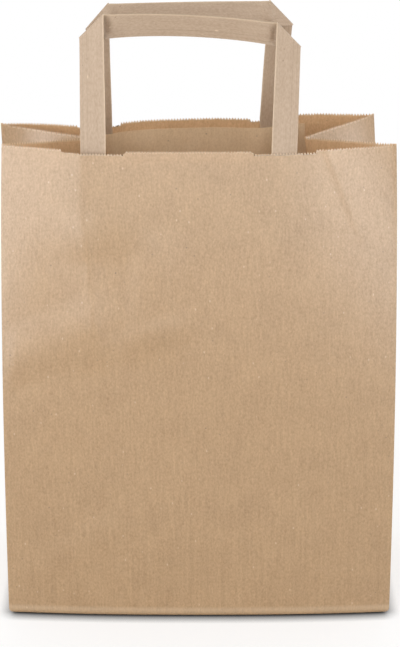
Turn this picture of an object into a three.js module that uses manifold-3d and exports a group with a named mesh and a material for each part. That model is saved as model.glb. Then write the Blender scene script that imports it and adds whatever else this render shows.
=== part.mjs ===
// A paper carrier bag standing open: one folded kraft sheet with side gussets, a block bottom and a
// serrated, notched rim, two flat handles of folded paper strap, and a glued patch over each handle's legs.
// Millimetres, +Z up. The origin is the middle of the base, on the surface that the bag stands on.
// The front panel faces -Y.
import * as THREE from "three";
import { mergeVertices } from "three/addons/utils/BufferGeometryUtils.js";
import Module from "manifold-3d";

// The folded sheet
const BAG_WIDTH = 220; // front and back panel
const BAG_DEPTH = 110; // side gusset, both halves
const BAG_HEIGHT = 274; // bottom fold to rim, along the paper
const PAPER = 0.15; // one layer
const FLAP_OVERLAP = 20; // of the two bottom flaps, across the middle of the base
const KRAFT = 0xc6a37d;
const PAPER_ROUGHNESS = 0.85;

// How the standing bag holds itself: how far its rim has moved from straight above the base
const FRONT_LEAN = 34.6; // front panel, backwards
const BACK_LEAN_LEFT = 30.1; // back panel, forwards, at its left edge
const BACK_LEAN_RIGHT = 14.2; // and at its right edge
const BACK_SHIFT = -6.6; // back panel, sideways
const FRONT_BOW = 16.3; // front rim, outwards at its middle
const BASE_BOW = 4; // bottom folds, outwards at their middle
const BOW_POWER = 2.4; // how flat the bow is across its middle
const CREASE_KINK = 0.8; // flat-pack crease across each panel, proud of the panel
const GUSSET_SAG = 1.6; // middle crease of each gusset, lower at the rim than its paper would reach
const LEFT_PULL = 11; // back rim, inwards where the left leg of its handle pulls it
const LEFT_PULL_ASIDE = 5.7; // deepest this far outside the leg's middle
const LEFT_PULL_REACH = 24;
const RIGHT_PULL = 4; // back rim, inwards where the right leg pulls it
const RIGHT_PULL_ASIDE = 10.4; // deepest this far inside the leg's middle
const RIGHT_PULL_REACH = 14;
const SIDE_BULGE = 5; // back rim, outwards beside the right leg
const SIDE_BULGE_ASIDE = 25.6; // highest this far outside the leg's middle
const SIDE_BULGE_REACH = 22;

// The rim
const TOOTH_PITCH = 1.2;
const TOOTH_DEPTH = 0.6;
const NOTCH_DEPTH = 1.6; // the rim is cut lower round each handle leg
const NOTCH_RAMP = 1.2; // length of the sloping end of a notch
const FRONT_NOTCH = 36; // notch length in the front rim
const BACK_NOTCH = 26;

// Handles: a flat strap of folded paper, turned through two diagonal folds
const STRAP_WIDTH = 14;
const STRAP_THICKNESS = 0.5;
const FOLD_GAP = 0.3; // between leg and strap behind each diagonal fold
const FOLD_RIDGE = 0.25; // how far a diagonal fold bulges past the leg's cut line
const FOLD_BAND = 0.9; // width of the paper that joins leg and strap inside a fold
const FOLD_END = 1.1; // that paper stops this far from the strap's edges
const LEG_GLUED = 50; // length of leg below the rim
const FRONT_LEG_SPACING = 104.1; // between the middles of the legs
const BACK_LEG_SPACING = 100.7;
const FRONT_HANDLE_RISE = 72.2; // rim to the top of the strap, at its left end
const BACK_HANDLE_RISE = 72.6;
const FRONT_HANDLE_OFFSET = -5.7; // handle, sideways from the middle of its panel
const BACK_HANDLE_OFFSET = -1.9;
const FRONT_SPLAY = 2.2; // how much further apart the legs are at the strap than at the rim
const BACK_SPLAY = 4.4;
const FRONT_SWAY = 0.7; // strap, sideways from the middle of its legs
const BACK_SWAY = 0.5;
const FRONT_TILT = -4.8; // right end of the strap, above its left end
const BACK_TILT = -2.3;
const FRONT_ARCH = 2; // middle of the strap, above the line between its ends
const BACK_ARCH = 0.4;
const LEG_TWIST = 20; // degrees that a leg is turned at its diagonal fold, its inner edge outwards
const FRONT_ROLL = 36; // degrees that the middle of the strap is rolled, its lower edge inwards
const BACK_ROLL = 20;
const STRAP_COLOUR = 0xbd9c78;

// Patches: a paper strip glued inside each panel, over the legs
const PATCH_MARGIN = 14; // past the outer edges of the legs
const PATCH_DROP = 6; // rim to the patch's top edge
const PATCH_HEIGHT = 48;
const PATCH_RAMP = 3; // where the patch steps up over a leg
const GLUE_GAP = 0.3; // between glued layers
const PATCH_COLOUR = 0xb48f68;

// How finely the curved paper is divided
const PANEL_COLUMNS = 28;
const GUSSET_HALF_COLUMNS = 4;
const UPPER_ROWS = 8;
const RIM_BAND = 4; // height of the strip that carries the teeth
const LEG_ROW = 10; // length of leg, strap or patch between cross lines
const LEG_COLUMN = 4; // width of leg between long lines
const ARC_STEPS = 24;
const PROBE = 0.5; // step for measuring slopes
const MERGE = 1e-4; // points closer than this are one

const HALF_WIDTH = BAG_WIDTH / 2;
const FOLD_HEIGHT = BAG_DEPTH / 2; // height of the flat-pack crease and of the end triangles' points
const BASE_LEVEL = 2 * PAPER; // underside of the walls: the two flaps lie below it
const TWIST = THREE.MathUtils.degToRad(LEG_TWIST);
const TWISTED_HALF = (STRAP_WIDTH / 2) * Math.cos(TWIST); // half a leg at its fold, seen from in front
const TWIST_DEPTH = (STRAP_WIDTH / 2) * Math.sin(TWIST); // how far its inner edge stands outwards there

const wasm = await Module();
wasm.setup();

// Panels: a point u across (from -HALF_WIDTH to HALF_WIDTH, towards +X) and v up the paper

const bulge = (u) => 1 - Math.abs(u / HALF_WIDTH) ** BOW_POWER;
const growth = (v) => (v / BAG_HEIGHT) ** 2;
const mix = (a, b, t) => a + (b - a) * t;

function legPlaces(offset, spacing) {
  return [offset - spacing / 2, offset + spacing / 2];
}

const FRONT_LEGS = legPlaces(FRONT_HANDLE_OFFSET, FRONT_LEG_SPACING);
const BACK_LEGS = legPlaces(BACK_HANDLE_OFFSET, BACK_LEG_SPACING);

const front = {
  side: -1,
  legs: FRONT_LEGS,
  notch: FRONT_NOTCH,
  rise: FRONT_HANDLE_RISE,
  strap: { splay: FRONT_SPLAY, sway: FRONT_SWAY, tilt: FRONT_TILT, arch: FRONT_ARCH, roll: FRONT_ROLL },
  lean: () => FRONT_LEAN,
  shift: 0,
  outwards: (u, v) => mix(BASE_BOW, FRONT_BOW, growth(v)) * bulge(u),
};

const back = {
  side: 1,
  legs: BACK_LEGS,
  notch: BACK_NOTCH,
  rise: BACK_HANDLE_RISE,
  strap: { splay: BACK_SPLAY, sway: BACK_SWAY, tilt: BACK_TILT, arch: BACK_ARCH, roll: BACK_ROLL },
  lean: (u) => mix(BACK_LEAN_LEFT, BACK_LEAN_RIGHT, (u + HALF_WIDTH) / BAG_WIDTH),
  shift: BACK_SHIFT,
  outwards(u, v) {
    const [left, right] = BACK_LEGS;
    const wave = (at, reach) => Math.exp(-(((u - at) / reach) ** 2));
    const pulled =
      LEFT_PULL * wave(left - LEFT_PULL_ASIDE, LEFT_PULL_REACH) +
      RIGHT_PULL * wave(right - RIGHT_PULL_ASIDE, RIGHT_PULL_REACH) -
      SIDE_BULGE * wave(right + SIDE_BULGE_ASIDE, SIDE_BULGE_REACH);
    return BASE_BOW * bulge(u) * (1 - growth(v)) - growth(v) * pulled;
  },
};

// Height reached by v of paper whose lean grows with the square of v
function rise(lean, v) {
  const turn = (2 * lean) / BAG_HEIGHT ** 2;
  if (turn === 0) return v;
  return (v * Math.sqrt(1 - (turn * v) ** 2) + Math.asin(turn * v) / turn) / 2;
}

// Distance across, straight, of u measured along paper whose depth follows the profile
function across(profile, u) {
  const step = u / ARC_STEPS;
  if (step === 0) return 0;
  let straight = 0;
  for (let i = 0; i < ARC_STEPS; i++) {
    const slope = (profile((i + 1) * step) - profile(i * step)) / step;
    straight += step * Math.sqrt(Math.max(0, 1 - slope * slope));
  }
  return straight;
}

function panelPoint(panel, u, v) {
  const kink = CREASE_KINK * Math.max(0, 1 - Math.abs(v / FOLD_HEIGHT - 1)) * bulge(u);
  const depth = (w) => FOLD_HEIGHT - panel.lean(w) * growth(v) + panel.outwards(w, v);
  return new THREE.Vector3(
    across(depth, u) + panel.shift * growth(v),
    panel.side * (depth(u) + kink),
    BASE_LEVEL + rise(panel.lean(u), v),
  );
}

// The directions up the paper and into the bag at a point of a panel
function panelDirections(panel, u, v) {
  const sideways = panelPoint(panel, u + PROBE, v).sub(panelPoint(panel, u - PROBE, v));
  const up = panelPoint(panel, u, v).sub(panelPoint(panel, u, v - PROBE)).normalize();
  const inward = new THREE.Vector3().crossVectors(sideways, up).multiplyScalar(panel.side).normalize();
  return { up, inward };
}

// Gussets: g from 0 at the front edge to BAG_DEPTH at the back edge. Above the end triangle each half is
// flat between its panel's edge and the middle crease, which folds inwards. Below, the diagonal creases
// from the bottom corners meet at the triangle's point.

function creaseInset(frontEdge, backEdge) {
  const halfGap = Math.hypot(backEdge.x - frontEdge.x, backEdge.y - frontEdge.y) / 2;
  return Math.sqrt(Math.max(0, FOLD_HEIGHT ** 2 - halfGap ** 2));
}

function creasePoint(hand, v) {
  const edges = (height) => [front, back].map((panel) => panelPoint(panel, hand * HALF_WIDTH, height));
  const [frontEdge, backEdge] = edges(v);
  const inset = creaseInset(frontEdge, backEdge);
  const firstInset = creaseInset(...edges(FOLD_HEIGHT));
  const inward = new THREE.Vector3(frontEdge.y - backEdge.y, backEdge.x - frontEdge.x, 0);
  const point = frontEdge.clone().lerp(backEdge, 0.5);
  point.addScaledVector(inward.normalize(), hand * inset);
  const triangleRise = Math.sqrt(FOLD_HEIGHT ** 2 - firstInset ** 2);
  const creaseRise = Math.sqrt((v - FOLD_HEIGHT) ** 2 - Math.min(inset - firstInset, v - FOLD_HEIGHT) ** 2);
  point.z = BASE_LEVEL + triangleRise + creaseRise - GUSSET_SAG * growth(v);
  return point;
}

function gussetPoint(hand, g, v) {
  const panel = g < FOLD_HEIGHT ? front : back;
  const fromEdge = Math.min(g, BAG_DEPTH - g);
  const edge = panelPoint(panel, hand * HALF_WIDTH, v);
  if (v >= FOLD_HEIGHT) return edge.lerp(creasePoint(hand, v), fromEdge / FOLD_HEIGHT);
  const corner = panelPoint(panel, hand * HALF_WIDTH, 0);
  const tip = creasePoint(hand, FOLD_HEIGHT);
  const share = v / FOLD_HEIGHT;
  if (fromEdge <= v && v > 0) return edge.lerp(corner.lerp(tip, share), fromEdge / v);
  const foot = new THREE.Vector3(hand * HALF_WIDTH, 0, BASE_LEVEL);
  const alongBase = (fromEdge - v) / (1 - share) / FOLD_HEIGHT;
  return corner.lerp(foot, alongBase).lerp(tip, share);
}

// The tube of the bag, anticlockwise from the front left corner, as four stretches
const STRETCHES = [
  { length: BAG_WIDTH, columns: PANEL_COLUMNS, panel: front, place: (s) => s - HALF_WIDTH },
  { length: BAG_DEPTH, columns: 2 * GUSSET_HALF_COLUMNS, hand: 1, place: (s) => s },
  { length: BAG_WIDTH, columns: PANEL_COLUMNS, panel: back, place: (s) => HALF_WIDTH - s },
  { length: BAG_DEPTH, columns: 2 * GUSSET_HALF_COLUMNS, hand: -1, place: (s) => BAG_DEPTH - s },
];

function tubePoint(stretch, s, v) {
  const place = stretch.place(s);
  return stretch.panel ? panelPoint(stretch.panel, place, v) : gussetPoint(stretch.hand, place, v);
}

// How far the rim is cut down at a point of a stretch
function notchAt(stretch, s) {
  if (!stretch.panel) return 0;
  const u = stretch.place(s);
  const inside = stretch.panel.legs.map((leg) => stretch.panel.notch / 2 - Math.abs(u - leg));
  return NOTCH_DEPTH * THREE.MathUtils.clamp(Math.max(...inside) / NOTCH_RAMP, 0, 1);
}

// Rows of the tube: the lower ones step with the gusset columns, so the diagonal creases run along edges
function tubeRows() {
  const rows = [];
  for (let i = 0; i <= GUSSET_HALF_COLUMNS; i++) rows.push((FOLD_HEIGHT * i) / GUSSET_HALF_COLUMNS);
  const top = BAG_HEIGHT - NOTCH_DEPTH - RIM_BAND;
  for (let i = 1; i <= UPPER_ROWS; i++) rows.push(mix(FOLD_HEIGHT, top, i / UPPER_ROWS));
  return rows;
}

function teethOf(stretch) {
  const halves = stretch.panel ? 1 : 2;
  return halves * Math.max(1, Math.round(stretch.length / halves / TOOTH_PITCH));
}

// Solids from points and triangles

function geometryOf(points, triangles) {
  const geometry = new THREE.BufferGeometry().setFromPoints(points);
  geometry.setIndex(triangles);
  return geometry;
}

function solidOf(geometry) {
  const bare = geometry.clone();
  bare.deleteAttribute("normal");
  bare.deleteAttribute("uv");
  const merged = mergeVertices(bare, MERGE);
  return new wasm.Manifold(
    new wasm.Mesh({
      numProp: 3,
      vertProperties: new Float32Array(merged.attributes.position.array),
      triVerts: new Uint32Array(merged.index.array),
    }),
  );
}

function joined(geometries) {
  const [first, ...rest] = geometries.map(solidOf);
  const mesh = rest.reduce((whole, piece) => whole.add(piece), first).getMesh();
  const geometry = new THREE.BufferGeometry();
  geometry.setAttribute("position", new THREE.BufferAttribute(mesh.vertProperties, 3));
  geometry.setIndex(new THREE.BufferAttribute(mesh.triVerts, 1));
  return geometry;
}

// A closed sheet between two grids of points. The first grid is the face that looks towards
// (along a row) x (up the rows).
function slab(face, reverse) {
  const rows = face.length;
  const columns = face[0].length;
  const points = [...face.flat(), ...reverse.flat()];
  const at = (row, column) => row * columns + column;
  const under = (index) => index + rows * columns;
  const triangles = [];
  for (let r = 0; r + 1 < rows; r++) {
    for (let c = 0; c + 1 < columns; c++) {
      const [p, q, s, t] = [at(r, c), at(r, c + 1), at(r + 1, c + 1), at(r + 1, c)];
      triangles.push(p, q, s, p, s, t);
      triangles.push(under(p), under(s), under(q), under(p), under(t), under(s));
    }
  }
  const wall = (p, q) => triangles.push(p, under(p), under(q), p, under(q), q);
  for (let c = 0; c + 1 < columns; c++) {
    wall(at(0, c), at(0, c + 1));
    wall(at(rows - 1, c + 1), at(rows - 1, c));
  }
  for (let r = 0; r + 1 < rows; r++) {
    wall(at(r + 1, 0), at(r, 0));
    wall(at(r, columns - 1), at(r + 1, columns - 1));
  }
  return geometryOf(points, triangles);
}

// The folded sheet: outer face, inner face one paper thickness inside it, serrated rim and floor

function wallFace() {
  const points = [];
  const triangles = [];
  const rowStarts = [];
  const rows = tubeRows();
  for (const v of rows) {
    rowStarts.push(points.length);
    for (const stretch of STRETCHES) {
      for (let k = 0; k < stretch.columns; k++) {
        points.push(tubePoint(stretch, (stretch.length * k) / stretch.columns, v));
      }
    }
  }
  const around = rowStarts[1];
  const at = (row, k) => rowStarts[row] + (k % around);
  const gussetStart = STRETCHES[0].columns;
  for (let r = 0; r + 1 < rows.length; r++) {
    for (let k = 0; k < around; k++) {
      const [p, q, s, t] = [at(r, k), at(r, k + 1), at(r + 1, k + 1), at(r + 1, k)];
      const intoGusset = (k - gussetStart) % (PANEL_COLUMNS + 2 * GUSSET_HALF_COLUMNS);
      const fallsBack = intoGusset >= GUSSET_HALF_COLUMNS && intoGusset < 2 * GUSSET_HALF_COLUMNS;
      if (fallsBack) triangles.push(p, q, t, q, s, t);
      else triangles.push(p, q, s, p, s, t);
    }
  }
  const rimStart = points.length;
  for (const stretch of STRETCHES) {
    const halfTeeth = 2 * teethOf(stretch);
    for (let k = 0; k < halfTeeth; k++) {
      const s = (stretch.length * k) / halfTeeth;
      const cut = k % 2 === 0 ? TOOTH_DEPTH : 0;
      points.push(tubePoint(stretch, s, BAG_HEIGHT - notchAt(stretch, s) - cut));
    }
  }
  const rimCount = points.length - rimStart;
  const rim = (k) => rimStart + (k % rimCount);
  let lowerFirst = 0;
  let upperFirst = 0;
  for (const stretch of STRETCHES) {
    const lowerCount = stretch.columns;
    const upperCount = 2 * teethOf(stretch);
    let lower = 0;
    let upper = 0;
    while (lower < lowerCount || upper < upperCount) {
      const low = at(rows.length - 1, lowerFirst + lower);
      const high = rim(upperFirst + upper);
      const nextLower = (lower + 1) / lowerCount;
      const nextUpper = (upper + 1) / upperCount;
      if (upper === upperCount || (lower < lowerCount && nextLower <= nextUpper)) {
        lower += 1;
        triangles.push(low, at(rows.length - 1, lowerFirst + lower), high);
      } else {
        upper += 1;
        triangles.push(low, rim(upperFirst + upper), high);
      }
    }
    lowerFirst += lowerCount;
    upperFirst += upperCount;
  }
  return { points, triangles, around, rimStart, rimCount };
}

function foldedSheet() {
  const { points, triangles, around, rimStart, rimCount } = wallFace();
  const outer = geometryOf(points, triangles);
  outer.computeVertexNormals();
  const normal = outer.getAttribute("normal");
  const count = points.length;
  const inner = points.map((point, i) => {
    const inside = point.clone().addScaledVector(new THREE.Vector3().fromBufferAttribute(normal, i), -PAPER);
    if (i < around) inside.z = BASE_LEVEL + PAPER;
    return inside;
  });
  const underside = 2 * count;
  const floor = underside + 1;
  const centres = [new THREE.Vector3(0, 0, BASE_LEVEL), new THREE.Vector3(0, 0, BASE_LEVEL + PAPER)];
  const all = [...triangles];
  for (let i = 0; i < triangles.length; i += 3) {
    all.push(count + triangles[i], count + triangles[i + 2], count + triangles[i + 1]);
  }
  for (let k = 0; k < rimCount; k++) {
    const p = rimStart + k;
    const q = rimStart + ((k + 1) % rimCount);
    all.push(p, q, count + q, p, count + q, count + p);
  }
  for (let k = 0; k < around; k++) {
    const next = (k + 1) % around;
    all.push(underside, next, k);
    all.push(floor, count + k, count + next);
  }
  return geometryOf([...points, ...inner, ...centres], all);
}

// A bottom flap, folded in from one panel to past the middle, its ends cut along the diagonal creases.
// The turn of the fold takes up one paper thickness.
function bottomFlap(panel, underside) {
  const reach = FOLD_HEIGHT + FLAP_OVERLAP / 2;
  const foldEnd = HALF_WIDTH - PAPER;
  const foldLine = FOLD_HEIGHT - PAPER;
  const outline = new THREE.Shape([
    new THREE.Vector2(-foldEnd, panel.side * foldLine),
    new THREE.Vector2(foldEnd, panel.side * foldLine),
    new THREE.Vector2(HALF_WIDTH - reach, panel.side * (FOLD_HEIGHT - reach)),
    new THREE.Vector2(reach - HALF_WIDTH, panel.side * (FOLD_HEIGHT - reach)),
  ]);
  const depth = BASE_LEVEL + PAPER / 2 - underside;
  const flap = new THREE.ExtrudeGeometry(outline, { depth, bevelEnabled: false });
  return flap.translate(0, 0, underside);
}

function bagBody() {
  return joined([foldedSheet(), bottomFlap(front, PAPER), bottomFlap(back, 0)]);
}

// Handles and patches share one mapping: a across the panel, b up from the rim line and c into the bag
// from the panel's inner face. Above the rim the legs leave the curve of the panel, and the strap runs
// straight between them.

function inPanel(panel, a, b, c) {
  const { inward } = panelDirections(panel, a, BAG_HEIGHT + b);
  return panelPoint(panel, a, BAG_HEIGHT + b).addScaledVector(inward, PAPER + GLUE_GAP + c);
}

// From 0 at the legs' inner edges to 1 halfway between them
function betweenLegs(panel, a) {
  const [left, right] = panel.legs;
  const along = (a - left - TWISTED_HALF) / (right - left - 2 * TWISTED_HALF);
  return Math.max(0, 4 * along * (1 - along));
}

// Where a leg's outer edge ends and its diagonal fold begins
function shoulderOf(panel) {
  return panel.rise - 2 * TWISTED_HALF;
}

function handleMap(panel) {
  const [left, right] = panel.legs;
  const { splay, sway, tilt, arch } = panel.strap;
  const leftRim = inPanel(panel, left, 0, 0);
  const chord = inPanel(panel, right, 0, 0).sub(leftRim);
  const sideways = chord.clone().normalize();
  const up = new THREE.Vector3();
  for (const leg of panel.legs) up.add(panelDirections(panel, leg, BAG_HEIGHT).up);
  up.addScaledVector(sideways, -up.dot(sideways)).normalize();
  const inward = new THREE.Vector3().crossVectors(sideways, up).multiplyScalar(panel.side);
  return (a, b, c) => {
    if (b <= 0) return inPanel(panel, a, b, c);
    const share = b / panel.rise;
    const along = (a - left) / (right - left);
    const lift = tilt * along + arch * betweenLegs(panel, a);
    const straight = leftRim.clone().addScaledVector(chord, along).addScaledVector(inward, c);
    const settled = THREE.MathUtils.smoothstep(b, 0, shoulderOf(panel));
    const point = inPanel(panel, a, 0, c).lerp(straight, settled);
    point.addScaledVector(sideways, share * (sway + splay * (along - 0.5)));
    return point.addScaledVector(up, b + share * lift);
  };
}

// A plate of rows of points in a handle's or patch's flat frame, between two depths
function plate(panel, map, rows, depthAt, thickness) {
  const near = rows.map((row) => row.map(([a, b]) => map(a, b, depthAt(a))));
  const far = rows.map((row) => row.map(([a, b]) => map(a, b, depthAt(a) + thickness)));
  return panel.side < 0 ? slab(near, far) : slab(far, near);
}

function spread(from, to, pitch) {
  const steps = Math.max(1, Math.ceil(Math.abs(to - from) / pitch));
  return Array.from({ length: steps + 1 }, (_, i) => mix(from, to, i / steps));
}

// The map of a leg, which turns about its middle line as it goes up. The strap leaves from its inner side:
// 1 for a left leg, -1 for a right one.
function twisted(panel, map, leg, inner) {
  return (a, b, c) => {
    const turn = TWIST * THREE.MathUtils.smoothstep(b, 0, shoulderOf(panel));
    return map(leg + (a - leg) * Math.cos(turn), b, c - inner * (a - leg) * Math.sin(turn));
  };
}

// A leg follows its panel up to the rim, and its top is cut along the diagonal
function handleLeg(panel, map, leg, inner) {
  const half = STRAP_WIDTH / 2;
  const shoulder = shoulderOf(panel);
  const columns = spread(leg - half, leg + half, LEG_COLUMN);
  const levels = [...spread(-LEG_GLUED, 0, LEG_ROW), ...spread(0, shoulder, LEG_ROW).slice(1)];
  const rows = levels.map((b) => columns.map((a) => [a, b]));
  const diagonal = (a) => shoulder + TWISTED_HALF * (1 + (inner * (a - leg)) / half);
  rows[rows.length - 1] = columns.map((a) => [a, diagonal(a)]);
  return plate(panel, twisted(panel, map, leg, inner), rows, () => 0, STRAP_THICKNESS);
}

// The strap leaves the diagonal folds turned as the legs are, and rolls further between them
function handleStrap(panel, map) {
  const [left, right] = panel.legs;
  const ends = [left - TWISTED_HALF, right + TWISTED_HALF];
  const low = spread(...ends, LEG_ROW).map((a) => [a, panel.rise - STRAP_WIDTH]);
  const top = low.map((_, i) => {
    return [mix(left + TWISTED_HALF, right - TWISTED_HALF, i / (low.length - 1)), panel.rise];
  });
  const rolled = (a, b, c) => {
    const degrees = mix(LEG_TWIST, panel.strap.roll, Math.sqrt(betweenLegs(panel, a)));
    const turn = THREE.MathUtils.degToRad(degrees);
    const drop = panel.rise - b;
    return map(a, panel.rise - drop * Math.cos(turn), c + drop * Math.sin(turn) - TWIST_DEPTH);
  };
  return plate(panel, rolled, [low, top], () => STRAP_THICKNESS + FOLD_GAP, STRAP_THICKNESS);
}

// The folded paper along a diagonal, joining a leg to the strap behind it
function diagonalFold(panel, map, leg, inner) {
  const length = STRAP_WIDTH * Math.SQRT2;
  const foreshortened = (2 * TWISTED_HALF) / STRAP_WIDTH;
  const corner = (along, inside) => [
    leg + inner * (-STRAP_WIDTH / 2 + (along + inside) / Math.SQRT2),
    shoulderOf(panel) + (foreshortened * (along - inside)) / Math.SQRT2,
  ];
  const rows = [FOLD_BAND, -FOLD_RIDGE].map((inside) => [
    corner(FOLD_END, inside),
    corner(length - FOLD_END, inside),
  ]);
  if (inner < 0) rows.forEach((row) => row.reverse());
  const sunk = STRAP_THICKNESS / 4;
  const depth = 2 * STRAP_THICKNESS + FOLD_GAP - 2 * sunk;
  return plate(panel, twisted(panel, map, leg, inner), rows, () => sunk, depth);
}

function handle(panel) {
  const map = handleMap(panel);
  const corners = panel.legs.map((leg, i) => [leg, i === 0 ? 1 : -1]);
  const legs = corners.map(([leg, inner]) => handleLeg(panel, map, leg, inner));
  const folds = corners.map(([leg, inner]) => diagonalFold(panel, map, leg, inner));
  return joined([handleStrap(panel, map), ...folds, ...legs]);
}

// The patch lies on the panel and steps up over each leg
function patch(panel) {
  const [left, right] = panel.legs;
  const half = STRAP_WIDTH / 2;
  const ends = [left - half - PATCH_MARGIN, right + half + PATCH_MARGIN];
  const steps = panel.legs.flatMap((leg) => [
    leg - half - GLUE_GAP - PATCH_RAMP,
    leg - half - GLUE_GAP,
    leg + half + GLUE_GAP,
    leg + half + GLUE_GAP + PATCH_RAMP,
  ]);
  const lines = [ends[0], ...steps, ends[1]];
  const columns = lines.slice(1).flatMap((to, i) => spread(lines[i], to, LEG_ROW).slice(1));
  columns.unshift(ends[0]);
  const overLeg = STRAP_THICKNESS + GLUE_GAP;
  const lift = (a) => {
    const past = Math.min(...panel.legs.map((leg) => Math.abs(a - leg))) - half - GLUE_GAP;
    return overLeg * (1 - THREE.MathUtils.clamp(past / PATCH_RAMP, 0, 1));
  };
  const levels = spread(-PATCH_DROP - PATCH_HEIGHT, -PATCH_DROP, LEG_ROW);
  const rows = levels.map((b) => columns.map((a) => [a, b]));
  return plate(panel, (a, b, c) => inPanel(panel, a, b, c), rows, lift, PAPER);
}

// The pieces

function piece(name, geometry, color) {
  const material = new THREE.MeshStandardMaterial({ color, roughness: PAPER_ROUGHNESS, metalness: 0 });
  const mesh = new THREE.Mesh(geometry, material);
  mesh.name = name;
  return mesh;
}

const bag = new THREE.Group();
bag.add(
  piece("bag_body", bagBody(), KRAFT),
  piece("front_handle", handle(front), STRAP_COLOUR),
  piece("back_handle", handle(back), STRAP_COLOUR),
  piece("front_patch", patch(front), PATCH_COLOUR),
  piece("back_patch", patch(back), PATCH_COLOUR),
);

export default bag;
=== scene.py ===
"""A brown paper carrier bag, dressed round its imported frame: the folded kraft sheet, two flat handles of
folded paper strap, the patches glued over their legs, and a plain white studio.

Laid out as a Blender add-on and run as a script. Metres, +Z up, the front panel faces -Y.
"""

import math
from dataclasses import dataclass

import bpy
import numpy as np
from bpy.props import FloatProperty, FloatVectorProperty, PointerProperty
from bpy.types import Operator, Panel, PropertyGroup
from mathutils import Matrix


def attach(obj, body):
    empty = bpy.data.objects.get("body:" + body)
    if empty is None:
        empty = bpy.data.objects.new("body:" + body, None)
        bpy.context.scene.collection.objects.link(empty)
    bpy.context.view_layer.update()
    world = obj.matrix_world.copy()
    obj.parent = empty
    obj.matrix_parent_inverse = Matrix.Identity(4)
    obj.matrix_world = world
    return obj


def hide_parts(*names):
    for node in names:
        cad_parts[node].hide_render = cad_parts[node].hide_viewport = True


bl_info = {
    "name": "Paper Carrier Bag",
    "version": (1, 0, 0),
    "blender": (4, 5, 0),
    "location": "View3D > Sidebar > Paper Bag",
    "description": "Folds a kraft paper carrier bag with strap handles round its packed frame",
    "category": "Add Mesh",
}

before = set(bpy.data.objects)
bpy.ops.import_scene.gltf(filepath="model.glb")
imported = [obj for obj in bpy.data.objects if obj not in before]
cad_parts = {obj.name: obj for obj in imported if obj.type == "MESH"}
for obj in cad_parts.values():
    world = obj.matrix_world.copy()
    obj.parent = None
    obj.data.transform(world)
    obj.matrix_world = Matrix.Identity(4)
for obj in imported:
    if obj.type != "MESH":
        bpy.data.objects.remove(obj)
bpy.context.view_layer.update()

MM = 0.001

# How the standing bag holds itself
BASE_BOW = 4 * MM  # bottom folds, outwards at their middle
BOW_POWER = 2.4  # how flat a bow is across its middle
CREASE_KINK = 0.8 * MM  # flat-pack crease across each panel, proud of the panel
CREASE_LEVEL = 51.5 * MM  # height of that crease up the paper
GUSSET_SAG = 1.6 * MM  # middle crease of a gusset, lower at the rim than its paper would reach
GUSSET_TUCK = 2 * MM  # middle crease of a gusset, further inwards towards the rim
GUSSET_ROUNDING = 6 * MM  # paper on each side of that crease that is rounded
GUSSET_BULGE = 6 * MM  # back half of a gusset, forwards at its middle
SEAM_LAP = 16 * MM  # width of the glued seam along one edge of the back panel
LEG_TWIST = 20  # degrees that a leg is turned at its diagonal fold, its inner edge outwards
STRAP_PINCH = 3 * MM  # strap, inwards where it comes out from behind a leg
PINCH_REACH = 2.6 * MM  # along the strap, from the leg's inner edge

# How finely the paper is divided. A column of the front panel carries one tooth of the rim, and one of the
# back panel or a gusset two. The front's teeth are 1.7 mm apart: the real 1.2 mm is too fine to show
FRONT_COLUMNS = 132
BACK_COLUMNS = 66
BASE_ROWS = 6  # round the bottom fold
LOWER_ROWS = 17  # from there to the tips of the end triangles
UPPER_ROWS = 84  # from the tips to the rim
TOOTH_CUTS = 3  # in the top edge of a column
TOOTH_SPREAD = (0.8, 1.15)  # depths of the teeth, as shares of the depth that is set
FLAP_GRID = (40, 12)  # columns and rows of a bottom flap
PATCH_GRID = (120, 40)  # columns and rows of a patch
STRAP_COLUMNS = 10
STRAP_ROWS = 90  # between the two diagonal folds, closest at the folds
LEG_ROW = 2 * MM  # length of leg between rows
DIAGONAL_ROWS = 8  # from a leg's shoulder to its diagonal fold
FOLD_STEPS = 5  # round a diagonal fold
ARC_STEPS = 24  # for measuring along bowed paper
PROBE = 0.5 * MM  # step for measuring slopes
WELD = 0.01 * MM  # points closer than this are one
LEAST = 1e-9  # keeps a divisor above zero
SHEET_SMOOTH = 28  # degrees of fold that are still shaded smooth on the sheet
STRIP_SMOOTH = 40  # degrees of fold that are still shaded smooth on straps and patches
SEED = 7

# The paper's pattern. Single fibres and the felt's lines are too fine to show in the render, so tufts of
# fibre and coarser lines are drawn
FIBRE = 0.9 * MM
ROLLED_LINE = 1.3 * MM
LINE_SHARE = 0.35  # strength of the lines beside that of the fibres
CLOUD = 16 * MM  # patches of thicker and thinner pulp
CLOUD_SHARE = 0.3
SHEET_WEB = ((1, 1, 0.6), (1, 1, 0.03))  # stretch of fibres and of lines along the web, upright on the sheet
STRIP_WEB = ((1, 0.5, 1), (1, 0.04, 1))  # the same along a strip
PATTERN_RANGE = (0.5, 1.15)  # from the hollows of the pattern to the tops of its fibres
PAPER_RELIEF = 0.12 * MM
RELIEF_STRENGTH = 0.5
BARK_SPACING = 5 * MM
BARK_EDGE = (0.05, 0.11)  # radius of a speck's core and of its edge, as shares of the spacing
BARK_POWER = 2.5  # how few of the specks are dark
FLECK_SPACING = 6 * MM
FLECK_EDGE = (0.04, 0.09)
FLECK_STRENGTH = 0.5
PAPER_IOR = 1.8  # above the 1.5 of cellulose, matched to the shine on the glazed side

# Painted highlights on edges and on the bottom fold, and the dark edges of a strap's folded layers
FOLD_EDGE = 0.94  # share of a strip's width where the painted highlight on its folded inner edge begins
RIM_EDGE = 0.997  # share of the sheet's height where the painted highlight on its rim begins
# strength of the painted highlight on a strip's inner edge and on a sheet's rim
EDGE_HIGHLIGHT = 0.45
BASE_EDGE = (5.5 * MM, 7.5 * MM)  # heights up to which the painted highlight on the rounded bottom fold is full, and reaches at all
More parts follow.
